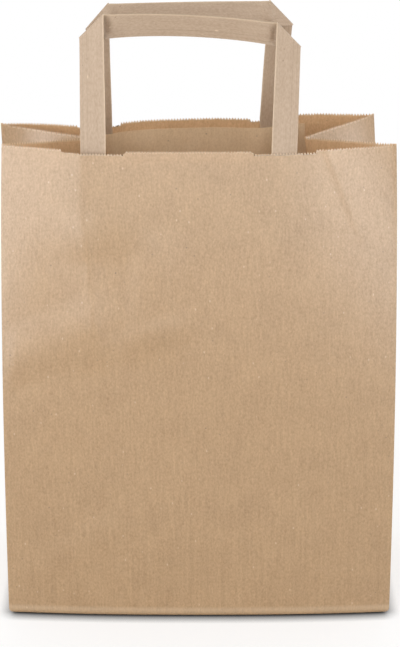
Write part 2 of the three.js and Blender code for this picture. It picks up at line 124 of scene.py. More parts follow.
# strength of the painted highlight on the bottom fold
BASE_HIGHLIGHT = 0.27
LAP_LINES = ((0.13, 0.12), (0.3, 0.18))  # place across the strip and darkness of each layer's edge
LAP_WIDTH = 0.015

# The studio
LAMP_DISTANCE = 1.5
LAMP_AIM = 0.2  # height that the lamps face
WORLD_LEVEL = 0.4
FLOOR_SIZE = 8
FLOOR_REACH = (0.2, 0.7)  # distances between which the seen floor turns to plain white
FLOOR_WHITE = 0.6  # share of plain white next to the bag
CONTACT_REACH = 8 * MM  # of the thin dark shadow under the bag's edges
CONTACT_POWER = 1.5
CAMERA_PLACE = (0.0005, -1.010, 0.520)
CAMERA_TILT = 70.35  # degrees from straight down
CAMERA_LENS = 103.1  # millimetres
CAMERA_SENSOR = 36  # millimetres along the picture's longer side


@dataclass(frozen=True)
class Softbox:
    """A soft rectangular lamp that faces the bag, turned to the right and raised from straight in front."""

    name: str
    azimuth: float
    elevation: float
    width: float
    height: float
    level: float  # at 1 it alone would show a colour that faces it as written


SOFTBOXES = (
    Softbox("front_lamp", azimuth=3, elevation=5, width=2.6, height=0.8, level=0.2),
    Softbox("key_lamp", azimuth=-4, elevation=26, width=0.6, height=0.6, level=0.18),
    Softbox("side_lamp", azimuth=-60, elevation=20, width=0.5, height=0.5, level=0.1),
    Softbox("left_lamp", azimuth=-43, elevation=7, width=0.6, height=0.8, level=0.15),
    Softbox("right_lamp", azimuth=33, elevation=13, width=0.7, height=0.7, level=0.15),
    Softbox("left_wall", azimuth=-60, elevation=-2, width=0.5, height=0.36, level=0.06),
    Softbox("left_fill", azimuth=-110, elevation=8, width=1.4, height=0.7, level=0.25),
    Softbox("right_fill", azimuth=108, elevation=8, width=1.4, height=0.7, level=0.35),
    Softbox("top_lamp", azimuth=0, elevation=75, width=0.9, height=0.6, level=0.12),
    Softbox("back_fill", azimuth=180, elevation=10, width=2.4, height=0.8, level=0.65),
)


@dataclass(frozen=True)
class Finish:
    """What the making of a paper's surface does to light."""

    name: str
    roughness: tuple  # in the hollows of its pattern, and on the tops of its fibres
    specular: float
    translucency: float  # share of the light that a face lets through


# Dried against a hot polished cylinder: a broad soft shine that shows each crease, and some light passes
GLAZED = Finish("glazed_kraft", roughness=(0.36, 0.28), specular=0.85, translucency=0.28)
# The other side of the same paper, left as it came from the felt: matt, with hardly any shine. It is
# paler partly as such a side is, and partly as painted light that brightens the bag's shaded inside
UNGLAZED = Finish("unglazed_kraft", roughness=(0.75, 0.6), specular=0.25, translucency=0.28)
# Several layers folded and glued flat: greyer and dull, nearly opaque, with the layers' edges as thin lines
STRAP = Finish("strap_paper", roughness=(0.6, 0.5), specular=0.4, translucency=0.05)
# Unglazed paper stiffened by glue: matt, and little light comes through. Its paleness is partly painted
# light that brightens the bag's shaded inside
PATCH = Finish("patch_paper", roughness=(0.75, 0.6), specular=0.25, translucency=0.12)


@dataclass(frozen=True)
class Crease:
    """A crease or soft ridge pressed into the front panel, in millimetres across and up its flat paper."""

    start: tuple
    end: tuple
    near: float  # width of the flank on its left, or above it
    far: float  # width of the flank on its right, or below it
    height: float
    sharp: bool = True


CREASES = (
    Crease((-64.2, 238), (-63.8, 284), near=44, far=90, height=2.2),
    Crease((-57.5, 176), (-60.5, 215), near=28, far=13, height=1.7),
    Crease((-28.5, 180), (-26, 205), near=16, far=30, height=1.5, sharp=False),
    Crease((-106.8, 152.8), (-60.2, 174), near=22, far=18, height=0.9, sharp=False),
    Crease((-54.8, 160), (-24.2, 171), near=10, far=12, height=0.5, sharp=False),
    Crease((81.8, 243.5), (71.5, 269), near=4, far=6, height=0.45),
    Crease((-104, 51.5), (104, 51.5), near=1.8, far=1.8, height=-0.2),
    Crease((-107, 22), (-56, 51), near=14, far=14, height=0.8, sharp=False),
)
CREASE_TAPER = 30  # millimetres past its ends over which a crease fades
CREASE_MARGIN = 6 * MM  # strip along the panel's edges over which creases fade


@dataclass(frozen=True)
class RimWave:
    """A wave in a panel's rim, beside a leg of its handle."""

    leg: int  # 0 for the left leg, 1 for the right
    aside: float  # to the right of the leg's middle
    inwards: float
    reach: float


@dataclass(frozen=True)
class PanelPose:
    """How one large panel and its handle hold themselves, in metres and degrees."""

    side: int  # -1 for the front panel, 1 for the back
    lean: tuple  # rim towards the bag's middle, at the left and the right edge
    shift: float  # rim sideways
    bow: float  # rim outwards at its middle
    waves: tuple  # in the rim, one RimWave each
    notch: float  # length of the notches in the rim
    offset: float  # handle sideways from the panel's middle
    spacing: float  # between the middles of the handle's legs
    rise: float  # rim to the top of the strap, at its left end
    splay: float  # how much further apart the legs are at the strap
    sway: float  # strap sideways from the middle of its legs
    tilt: float  # right end of the strap above its left end
    arch: float  # middle of the strap above its ends
    roll: float  # degrees that the strap is rolled, its lower edge inwards

    @property
    def legs(self):
        """Places across of the middles of the handle's legs."""
        return self.offset - self.spacing / 2, self.offset + self.spacing / 2


FRONT = PanelPose(
    side=-1,
    lean=(34.6 * MM, 34.6 * MM),
    shift=0,
    bow=16.3 * MM,
    waves=(),
    notch=36 * MM,
    offset=-5.7 * MM,
    spacing=104.1 * MM,
    rise=72.2 * MM,
    splay=2.2 * MM,
    sway=0.7 * MM,
    tilt=-4.8 * MM,
    arch=2 * MM,
    roll=36,
)
BACK = PanelPose(
    side=1,
    lean=(30.1 * MM, 14.2 * MM),
    shift=-6.6 * MM,
    bow=0,
    waves=(
        RimWave(leg=0, aside=-5.7 * MM, inwards=11 * MM, reach=24 * MM),
        RimWave(leg=1, aside=-10.4 * MM, inwards=4 * MM, reach=14 * MM),
        RimWave(leg=1, aside=25.6 * MM, inwards=-5 * MM, reach=22 * MM),
    ),
    notch=26 * MM,
    offset=-1.9 * MM,
    spacing=100.7 * MM,
    rise=72.6 * MM,
    splay=4.4 * MM,
    sway=0.5 * MM,
    tilt=-2.3 * MM,
    arch=0.4 * MM,
    roll=20,
)


def linear(hex_colour):
    """A #RRGGBB colour as linear red, green and blue."""
    shares = [int(hex_colour[i : i + 2], 16) / 255 for i in (1, 3, 5)]
    return tuple(c / 12.92 if c <= 0.04045 else ((c + 0.055) / 1.055) ** 2.4 for c in shares)


def length(name, description, millimetres):
    """A length that a user would change."""
    return FloatProperty(
        name=name, description=description, default=millimetres * MM, min=0, unit="LENGTH", subtype="DISTANCE"
    )


def colour(name, description, hex_colour):
    """A colour that a user would change."""
    return FloatVectorProperty(
        name=name, description=description, default=linear(hex_colour), min=0, max=1, size=3, subtype="COLOR"
    )


class SheetSettings(PropertyGroup):
    """The folded sheet of the bag."""

    width: length("Width", "Front and back panel, edge to edge", 220)
    depth: length("Depth", "Side gusset, both halves", 110)
    height: length("Height", "Bottom fold to rim, along the paper", 274)
    paper: length("Paper", "Thickness of one layer", 0.15)
    flap_overlap: length("Flap overlap", "Overlap of the two bottom flaps", 20)
    tooth_depth: length("Tooth depth", "Depth of the serrated rim's teeth", 1.4)
    base_rounding: length("Base rounding", "Radius of the bottom fold", 4)
    notch_depth: length("Notch depth", "How much lower the rim is round a handle leg", 1.6)
    notch_ramp: length("Notch ramp", "Length of the sloping end of a notch", 1.2)


class StrapSettings(PropertyGroup):
    """The handles of folded strap and the patches over their legs."""

    width: length("Width", "Width of the strap", 14)
    thickness: length("Thickness", "Thickness of the folded strap", 0.5)
    fold_gap: length("Fold gap", "Gap between leg and strap behind a diagonal fold", 0.3)
    leg_glued: length("Glued length", "Length of leg below the rim", 50)
    glue_gap: length("Glue gap", "Gap between glued layers", 0.3)
    patch_margin: length("Patch margin", "Patch past the outer edges of the legs", 14)
    patch_drop: length("Patch drop", "Rim to the patch's top edge", 6)
    patch_height: length("Patch height", "Height of the patch", 48)
    patch_ramp: length("Patch ramp", "Where the patch steps up over a leg", 3)


class PaperSettings(PropertyGroup):
    """The colours of the papers and the studio."""

    kraft_dark: colour("Kraft, dark", "Darker fibres of the bag's paper", "#9F7948")
    kraft_pale: colour("Kraft, pale", "Paler fibres of the bag's paper", "#C8A474")
    # The unglazed side's colours are paler partly as painted light that brightens the bag's shaded inside
    inside_dark: colour("Inside, dark", "Darker fibres of the paper's unglazed side", "#CEA77B")
    inside_pale: colour("Inside, pale", "Paler fibres of the paper's unglazed side", "#ECC69B")
    # The patches' colours are paler partly as painted light that brightens the bag's shaded inside
    patch_dark: colour("Patch, dark", "Darker fibres of the patches' paper", "#DFC199")
    patch_pale: colour("Patch, pale", "Paler fibres of the patches' paper", "#F4D9B5")
    speck: colour("Speck", "Specks of bark in the paper", "#6E5238")
    # Besides bleached fibres, this colour paints the highlights on the straps' inner edges, the rim and the
    # bottom fold
    fleck_and_highlight: colour("Fleck", "Bleached fibres in the paper", "#EAD3B2")
    strap_dark: colour("Strap, dark", "Darker fibres of the handles' paper", "#A58C72")
    strap_pale: colour("Strap, pale", "Paler fibres of the handles' paper", "#BDA58D")
    floor: colour("Floor", "The studio floor", "#FAFAFA")
    floor_lift: FloatProperty(
        name="Floor lift",
        description="How much brighter the floor is seen than it lights",
        default=1.15,
        min=1,
    )


class FoldedBag:
    """Where each point of the flat paper lies in the standing bag."""

    def __init__(self, sheet, strap):
        self.sheet = sheet
        self.strap = strap
        self.half_width = sheet.width / 2
        self.fold = sheet.depth / 2
        self.base = 2 * sheet.paper
        self.behind = strap.thickness + strap.fold_gap  # from a leg to the strap folded behind it
        twist = math.radians(LEG_TWIST)
        self.twisted_half = strap.width / 2 * math.cos(twist)
        self.twist_depth = strap.width / 2 * math.sin(twist)

    def growth(self, v):
        """Share of a panel's lean at a height up the paper, from 0 at the bottom fold to 1 at the rim."""
        return (v / self.sheet.height) ** 2

    def bulge(self, u):
        """Share of a panel's bow at a place across, from 0 at its edges to 1 at its middle."""
        return 1 - np.abs(u / self.half_width) ** BOW_POWER

    def lean(self, pose, u):
        """How far the rim leans towards the bag's middle at a place across."""
        left, right = pose.lean
        return left + (right - left) * (u / self.half_width + 1) / 2

    def depth(self, pose, u, v):
        """How far a panel lies from the bag's middle plane."""
        grown = self.growth(v)
        outwards = (BASE_BOW * (1 - grown) + pose.bow * grown) * self.bulge(u)
        for wave in pose.waves:
            away = (u - pose.legs[wave.leg] - wave.aside) / wave.reach
            outwards = outwards - wave.inwards * grown * np.exp(-(away**2))
        return self.fold - self.lean(pose, u) * grown + outwards

    def across(self, pose, u, v):
        """Straight distance across of u measured along the bowed paper."""
        step = u / ARC_STEPS
        straight = np.zeros_like(u)
        before = self.depth(pose, np.zeros_like(u), v)
        for i in range(1, ARC_STEPS + 1):
            after = self.depth(pose, i * step, v)
            straight += np.sign(step) * np.sqrt(np.maximum(0, step**2 - (after - before) ** 2))
            before = after
        return straight

    def panel(self, pose, u, v):
        """Points of a panel: u across from its middle, towards +X, and v up the paper."""
        turn = 2 * self.lean(pose, u) / self.sheet.height**2
        rise = (v * np.sqrt(1 - (turn * v) ** 2) + np.arcsin(turn * v) / turn) / 2
        kink = CREASE_KINK * np.maximum(0, 1 - np.abs(v / CREASE_LEVEL - 1)) * self.bulge(u)
        x = self.across(pose, u, v) + pose.shift * self.growth(v)
        y = pose.side * (self.depth(pose, u, v) + kink)
        return np.stack([x, y, self.base + rise], axis=-1)

    def relief(self, u, v):
        """How far the front panel stands out where it has been creased."""
        total = np.zeros_like(u)
        for crease in CREASES:
            run_u, run_v = np.subtract(crease.end, crease.start)
            reach = math.hypot(run_u, run_v)
            from_u = u / MM - crease.start[0]
            from_v = v / MM - crease.start[1]
            along = (from_u * run_u + from_v * run_v) / reach
            aside = (from_v * run_u - from_u * run_v) / reach
            past = np.clip(np.maximum(-along, along - reach) / CREASE_TAPER, 0, 1)
            off = np.clip(np.abs(aside) / np.where(aside > 0, crease.near, crease.far), 0, 1)
            flank = (1 - off) ** 2 if crease.sharp else (1 - off**2) ** 2
            total += crease.height * MM * flank * (1 - past**2) ** 2
        return total * np.clip((self.half_width - np.abs(u)) / CREASE_MARGIN, 0, 1)

    def crease(self, hand, v):
        """Points of a gusset's middle crease, which folds inwards above the end triangle."""

        def inset(front, back):
            half_gap = np.hypot(*(back - front)[..., :2].T) / 2
            return np.sqrt(np.maximum(0, self.fold**2 - half_gap**2))

        def edges(height):
            u = np.full_like(height, hand * self.half_width)
            return self.panel(FRONT, u, height), self.panel(BACK, u, height)

        front, back = edges(v)
        first = inset(*edges(np.full_like(v, self.fold)))
        deep = inset(front, back)
        inward = np.stack([front[..., 1] - back[..., 1], back[..., 0] - front[..., 0]], axis=-1)
        inward /= np.linalg.norm(inward, axis=-1, keepdims=True)
        points = (front + back) / 2
        points[..., :2] += hand * deep[..., None] * inward
        slant = np.minimum(deep - first, v - self.fold)
        points[..., 0] -= hand * GUSSET_TUCK * self.growth(v - self.fold)
        points[..., 2] = self.base + np.sqrt(self.fold**2 - first**2) - GUSSET_SAG * self.growth(v)
        points[..., 2] += np.sqrt((v - self.fold) ** 2 - slant**2)
        return points

    def gusset(self, hand, g, v):
        """Points of a gusset: g from 0 at its front edge to the bag's depth at its back edge."""
        points = np.empty((len(g), 3))
        for pose, half in ((FRONT, g < self.fold), (BACK, g >= self.fold)):
            from_edge = np.minimum(g, self.sheet.depth - g)[half]
            up = v[half]
            upper = self.gusset_wall(pose, hand, from_edge, up)
            lower = self.gusset_foot(pose, hand, from_edge, up)
            points[half] = np.where((up >= self.fold)[:, None], upper, lower)
        return points

    def gusset_wall(self, pose, hand, from_edge, up):
        """Points of half a gusset above the end triangle, from a panel's edge to the middle crease."""
        edge = self.panel(pose, np.full_like(up, hand * self.half_width), up)
        folded = self.crease(hand, np.maximum(up, self.fold))
        points = edge + (folded - edge) * (from_edge / self.fold)[:, None]
        near = np.clip(1 - (self.fold - from_edge) / GUSSET_ROUNDING, 0, 1)
        points[:, 0] += hand * GUSSET_ROUNDING / 4 * near**2 * self.growth(np.maximum(up - self.fold, 0))
        if pose is BACK:
            climb = np.clip((up - self.fold) / (self.sheet.height - self.fold), 0, 1)
            swell = np.sin(math.pi * climb**2) * np.sin(math.pi * from_edge / self.fold)
            points[:, 1] -= GUSSET_BULGE * swell
        return points

    def gusset_foot(self, pose, hand, from_edge, up):
        """Points of half a gusset beside the end triangle, and of that half of the triangle."""
        u = np.full_like(up, hand * self.half_width)
        edge = self.panel(pose, u, up)
        corner = self.panel(pose, u, np.zeros_like(up))
        tip = self.crease(hand, np.full_like(up, self.fold))
        middle = np.array([hand * self.half_width, 0, self.base])
        share = np.minimum(up / self.fold, 1)[:, None]
        diagonal = corner + (tip - corner) * share
        side = edge + (diagonal - edge) * (from_edge / np.maximum(up, LEAST))[:, None]
        along = (from_edge - up) / np.maximum(self.fold - up, LEAST)
        base = corner + (middle - corner) * along[:, None]
        triangle = base + (tip - base) * share
        return np.where((from_edge <= up)[:, None], side, triangle)

    def notch(self, pose, u):
        """How far the rim is cut down at a place across a panel."""
        inside = np.max([pose.notch / 2 - np.abs(u - leg) for leg in pose.legs], axis=0)
        return self.sheet.notch_depth * np.clip(inside / self.sheet.notch_ramp, 0, 1)

    def directions(self, pose, u, v):
        """Unit vectors up the paper and into the bag."""
        up = self.panel(pose, u, v) - self.panel(pose, u, v - PROBE)
        sideways = self.panel(pose, u + PROBE, v) - self.panel(pose, u - PROBE, v)
        inward = pose.side * np.cross(sideways, up)
        return [w / np.linalg.norm(w, axis=-1, keepdims=True) for w in (up, inward)]

    def inside(self, pose, a, b, c):
        """Points a across, b above the rim line and c into the bag from the panel's inner face."""
        v = self.sheet.height + b
        _, inward = self.directions(pose, a, v)
        return self.panel(pose, a, v) + inward * (self.sheet.paper + self.strap.glue_gap + c)[:, None]

    def shoulder(self, pose):
        """Where a leg's outer edge ends and its diagonal fold begins."""
        return pose.rise - 2 * self.twisted_half

    def settled(self, pose, b):
        """From 0 at the rim to 1 at the diagonal fold."""
        t = np.clip(b / self.shoulder(pose), 0, 1)
        return t * t * (3 - 2 * t)

    def between_legs(self, pose, a):
        """From 0 at the legs' inner edges to 1 halfway between them."""
        left, right = pose.legs
        along = (a - left - self.twisted_half) / (right - left - 2 * self.twisted_half)
        return np.maximum(0, 4 * along * (1 - along))

    def handle(self, pose, a, b, c):
        """Points of a handle: its legs follow the panel up to the rim, and straighten out above it."""
        left, right = pose.legs
        ends = np.array([left, right])
        zero = np.zeros(2)
        left_rim, right_rim = self.inside(pose, ends, zero, zero)
        chord = right_rim - left_rim
        sideways = chord / np.linalg.norm(chord)
        up = self.directions(pose, ends, zero + self.sheet.height)[0].sum(axis=0)
        up -= sideways * (up @ sideways)
        up /= np.linalg.norm(up)
        inward = pose.side * np.cross(sideways, up)
        share = b / pose.rise
        along = (a - left) / (right - left)
        settled = self.settled(pose, b)[:, None]
        on_rim = self.inside(pose, a, np.minimum(b, 0), c)
        straight = left_rim + along[:, None] * chord + c[:, None] * inward
        lift = pose.tilt * along + pose.arch * self.between_legs(pose, a)
        above = on_rim + (straight - on_rim) * settled
        above += sideways * (share * (pose.sway + pose.splay * (along - 0.5)))[:, None]
        above += up * (b + share * lift)[:, None]
        return np.where((b > 0)[:, None], above, on_rim)


def add_grid(name, columns, rows):
    """Adds a flat grid one metre square, and selects nothing else."""
    bpy.ops.object.select_all(action="DESELECT")
    bpy.ops.mesh.primitive_grid_add(x_subdivisions=columns, y_subdivisions=rows, size=1)
    made = bpy.context.object
    made.name = made.data.name = name
    return made


def flat_places(made, columns, rows):
    """The column and row of each vertex of a flat grid, in cells and cuts of a cell."""
    flat = np.empty(len(made.data.vertices) * 3)
    made.data.vertices.foreach_get("co", flat)
    places = flat.reshape(-1, 3)[:, :2] + 0.5
    cells = TOOTH_CUTS + 1
    return np.rint(places * (columns, rows) * cells).T / cells


def move_vertices(made, points):
    """Moves each vertex of a mesh to its own point."""
    made.data.vertices.foreach_set("co", np.ravel(points))
    made.data.update()


def face_outwards():
    """Turns the faces of the active mesh the same way round."""
    bpy.ops.object.mode_set(mode="EDIT")
    bpy.ops.mesh.select_all(action="SELECT")
    bpy.ops.mesh.normals_make_consistent(inside=False)
    bpy.ops.object.mode_set(mode="OBJECT")


def thicken(made, thickness, offset, outer=0):
    """Gives a sheet its thickness, with the material of slot outer on its outer face."""
    bpy.context.view_layer.objects.active = made
    modifier = made.modifiers.new("Paper", "SOLIDIFY")
    modifier.thickness = thickness
    modifier.offset = offset
    modifier.material_offset = outer
    bpy.ops.object.modifier_apply(modifier=modifier.name)


def smooth(made, degrees):
    """Smooth shading that keeps the folds sharp."""
    bpy.ops.object.select_all(action="DESELECT")
    made.select_set(True)
    bpy.context.view_layer.objects.active = made
    bpy.ops.object.shade_smooth_by_angle(angle=math.radians(degrees))


def join(pieces):
    """Joins the other pieces into the first."""
    bpy.ops.object.select_all(action="DESELECT")
    for piece in pieces:
        piece.select_set(True)
    bpy.context.view_layer.objects.active = pieces[0]
    bpy.ops.object.join()
    return pieces[0]


def dress(made, node):
    """Gives a finished piece its place in the frame."""
    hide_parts(node)
    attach(made, "root")


def add_node(tree, kind, inputs=None, **settings):
    """Adds a node with its settings, and links or sets its inputs."""
    made = tree.nodes.new(kind)
    for name, value in settings.items():
        setattr(made, name, value)
    for socket, value in (inputs or {}).items():
        if isinstance(value, bpy.types.NodeSocket):
            tree.links.new(value, made.inputs[socket])
        else:
            made.inputs[socket].default_value = value
    return made


def new_material(name):
    """An empty node material."""
    made = bpy.data.materials.new(name)
    made.use_nodes = True
    made.node_tree.nodes.clear()
    return made, made.node_tree


def fibre_pattern(tree, place, fibres, rolled):
    """Tufts of fibre, the lines that the machine leaves along the web, and clouds of thicker pulp."""
    tufts = {"Vector": fibres, "Scale": 1 / FIBRE, "Detail": 2, "Roughness": 0.6}
    total = add_node(tree, "ShaderNodeTexNoise", tufts).outputs[0]
    lines = {"Vector": rolled, "Scale": 1 / ROLLED_LINE, "Detail": 1}
    clouds = {"Vector": place, "Scale": 1 / CLOUD, "Detail": 3}
    for pattern, share in ((lines, LINE_SHARE), (clouds, CLOUD_SHARE)):
        height = add_node(tree, "ShaderNodeTexNoise", pattern).outputs[0]
        total = add_node(
            tree, "ShaderNodeMath", {0: height, 1: share, 2: total}, operation="MULTIPLY_ADD"
        ).outputs[0]
    return total


def specks(tree, place, fibres, paper):
    """Specks of bark, a few of them dark, and short bleached fibres, each as its share and its colour."""
    bark = add_node(tree, "ShaderNodeTexVoronoi", {"Vector": place, "Scale": 1 / BARK_SPACING}).outputs
    flecks = add_node(tree, "ShaderNodeTexVoronoi", {"Vector": fibres, "Scale": 1 / FLECK_SPACING}).outputs
    darkness = add_node(
        tree, "ShaderNodeMath", {0: bark["Color"], 1: BARK_POWER}, operation="POWER"
    ).outputs[0]
    kinds = (
        (bark, BARK_EDGE, darkness, paper.speck),
        (flecks, FLECK_EDGE, FLECK_STRENGTH, paper.fleck_and_highlight),
    )
    layers = []
    for cells, (core, edge), strength, tint in kinds:
        share = add_node(
            tree,
            "ShaderNodeMapRange",
            {"Value": cells["Distance"], "From Min": core, "From Max": edge, "To Min": strength, "To Max": 0},
        ).outputs[0]
        layers.append((share, tint))
    return layers


def edge_highlights_and_laps(tree, spots, paper, strip):
    """Painted highlights on edges, and the dark edges of a strap's layers, each as its share and its colour.

    A strip has a painted highlight on its folded inner edge, and the dark edges of its folded layers. A
    sheet has a painted highlight along its top edge, the rim, and a weaker one on its rounded bottom fold.
    """
    flat = add_node(tree, "ShaderNodeSeparateXYZ", {"Vector": spots["UV"]}).outputs
    across = flat["X" if strip else "Y"]
    # Painted highlight: along a strip's folded inner edge, and along a sheet's top edge, its rim
    edge_highlight = add_node(
        tree,
        "ShaderNodeMapRange",
        {
            "Value": across,
            "From Min": FOLD_EDGE if strip else RIM_EDGE,
            "From Max": 1,
            "To Max": EDGE_HIGHLIGHT,
        },
    ).outputs[0]
    layers = [(edge_highlight, paper.fleck_and_highlight)]
    if not strip:
        # Painted highlight on the rounded bottom fold, full up to the first height of BASE_EDGE and gone by
        # the second
        standing = add_node(tree, "ShaderNodeSeparateXYZ", {"Vector": spots["Object"]}).outputs
        full, end = BASE_EDGE
        base_highlight = add_node(
            tree,
            "ShaderNodeMapRange",
            {"Value": standing["Z"], "From Min": end, "From Max": full, "To Max": BASE_HIGHLIGHT},
        ).outputs[0]
        return [*layers, (base_highlight, paper.fleck_and_highlight)]
    for place, darkness in LAP_LINES:
        line = add_node(
            tree, "ShaderNodeMath", {0: across, 1: place, 2: LAP_WIDTH}, operation="COMPARE"
        ).outputs[0]
        share = add_node(tree, "ShaderNodeMath", {0: line, 1: darkness}, operation="MULTIPLY").outputs[0]
        layers.append((share, paper.speck))
    return layers


def kraft_paper(finish, dark, pale, paper, strip=None):
    """Kraft paper of one finish, with short fibres along its web, specks, and painted highlights on its
    edges.

    A strip, given by its width and length, reads its own UV map, so that its web runs along it. A sheet reads
    Object coordinates, and its web runs upright.
    """
    material, tree = new_material(finish.name)
    spots = add_node(tree, "ShaderNodeTexCoord").outputs
    place = spots["Object"]
    if strip:
        place = add_node(
            tree, "ShaderNodeMapping", {"Vector": spots["UV"], "Scale": (*strip, 1)}
        ).outputs[0]
    fibres, rolled = [
        add_node(tree, "ShaderNodeMapping", {"Vector": place, "Scale": stretch}).outputs[0]
        for stretch in (STRIP_WEB if strip else SHEET_WEB)
    ]
    pattern = fibre_pattern(tree, place, fibres, rolled)
    hollow, top = PATTERN_RANGE
    share = add_node(
        tree, "ShaderNodeMapRange", {"Value": pattern, "From Min": hollow, "From Max": top}
    ).outputs[0]
    tone = add_node(
        tree, "ShaderNodeMix", {"Factor": share, "A": (*dark, 1), "B": (*pale, 1)}, data_type="RGBA"
    ).outputs["Result"]
    for share, tint in specks(tree, place, fibres, paper) + edge_highlights_and_laps(tree, spots, paper, strip):
        tone = add_node(
            tree, "ShaderNodeMix", {"Factor": share, "A": tone, "B": (*tint, 1)}, data_type="RGBA"
        ).outputs["Result"]
    bump = add_node(
        tree, "ShaderNodeBump", {"Height": pattern, "Strength": RELIEF_STRENGTH, "Distance": PAPER_RELIEF}
    ).outputs[0]
    rough, polished = finish.roughness
    roughness = add_node(
        tree,
        "ShaderNodeMapRange",
        {"Value": pattern, "From Min": hollow, "From Max": top, "To Min": rough, "To Max": polished},
    ).outputs[0]
    front = add_node(
        tree,
        "ShaderNodeBsdfPrincipled",
        {
            "Base Color": tone,
            "Roughness": roughness,
            "Normal": bump,
            "IOR": PAPER_IOR,
            "Specular IOR Level": finish.specular,
        },
    )
    # Light passes two faces on its way through the sheet, so each face gives it half of the colour
    half_way = add_node(tree, "ShaderNodeGamma", {"Color": tone, "Gamma": 0.5}).outputs[0]
    through = add_node(tree, "ShaderNodeBsdfTranslucent", {"Color": half_way})
    both = add_node(
        tree, "ShaderNodeMixShader", {0: finish.translucency, 1: front.outputs[0], 2: through.outputs[0]}
    )
    add_node(tree, "ShaderNodeOutputMaterial", {"Surface": both.outputs[0]})
    return material


def seen_rays(tree):
    """1 for the rays that see the studio, straight or in a shine, and 0 for those that light the bag."""
    path = add_node(tree, "ShaderNodeLightPath").outputs
    shown = add_node(
        tree, "ShaderNodeMath", {0: path["Is Camera Ray"], 1: path["Is Glossy Ray"]}, operation="MAXIMUM"
    ).outputs[0]
    shown = add_node(
        tree, "ShaderNodeMath", {0: shown, 1: path["Is Transmission Ray"]}, operation="MAXIMUM"
    ).outputs[0]
    # Rays through translucent paper count as transmission too, and light the bag
    return add_node(
        tree, "ShaderNodeMath", {0: shown, 1: path["Is Diffuse Ray"]}, operation="SUBTRACT", use_clamp=True
    ).outputs[0]


def studio_floor(paper):
    """Plain pale studio floor, matt: it keeps the bag's shadow, and is lifted to white where it is seen."""
    material, tree = new_material("studio_floor")
    matt = add_node(tree, "ShaderNodeBsdfDiffuse", {"Color": (*paper.floor, 1)})
    lifted = [c * paper.floor_lift for c in paper.floor]
    close = add_node(tree, "ShaderNodeAmbientOcclusion", {"Distance": CONTACT_REACH}).outputs["AO"]
    shade = add_node(tree, "ShaderNodeMath", {0: close, 1: CONTACT_POWER}, operation="POWER").outputs[0]
    seen_colour = add_node(
        tree, "ShaderNodeVectorMath", {0: lifted, "Scale": shade}, operation="SCALE"
    ).outputs[0]
    near = add_node(tree, "ShaderNodeBsdfDiffuse", {"Color": seen_colour})
    place = add_node(tree, "ShaderNodeTexCoord").outputs["Object"]
    away = add_node(tree, "ShaderNodeVectorMath", {0: place}, operation="LENGTH").outputs["Value"]
    start, end = FLOOR_REACH
    far_share = add_node(
        tree,
        "ShaderNodeMapRange",
        {"Value": away, "From Min": start, "From Max": end, "To Min": FLOOR_WHITE},
        interpolation_type="SMOOTHSTEP",
    ).outputs[0]
    far = add_node(tree, "ShaderNodeEmission", {"Color": (1, 1, 1, 1), "Strength": shade})
    white = add_node(tree, "ShaderNodeMixShader", {0: far_share, 1: near.outputs[0], 2: far.outputs[0]})
    both = add_node(
        tree, "ShaderNodeMixShader", {0: seen_rays(tree), 1: matt.outputs[0], 2: white.outputs[0]}
    )
    add_node(tree, "ShaderNodeOutputMaterial", {"Surface": both.outputs[0]})
    return material


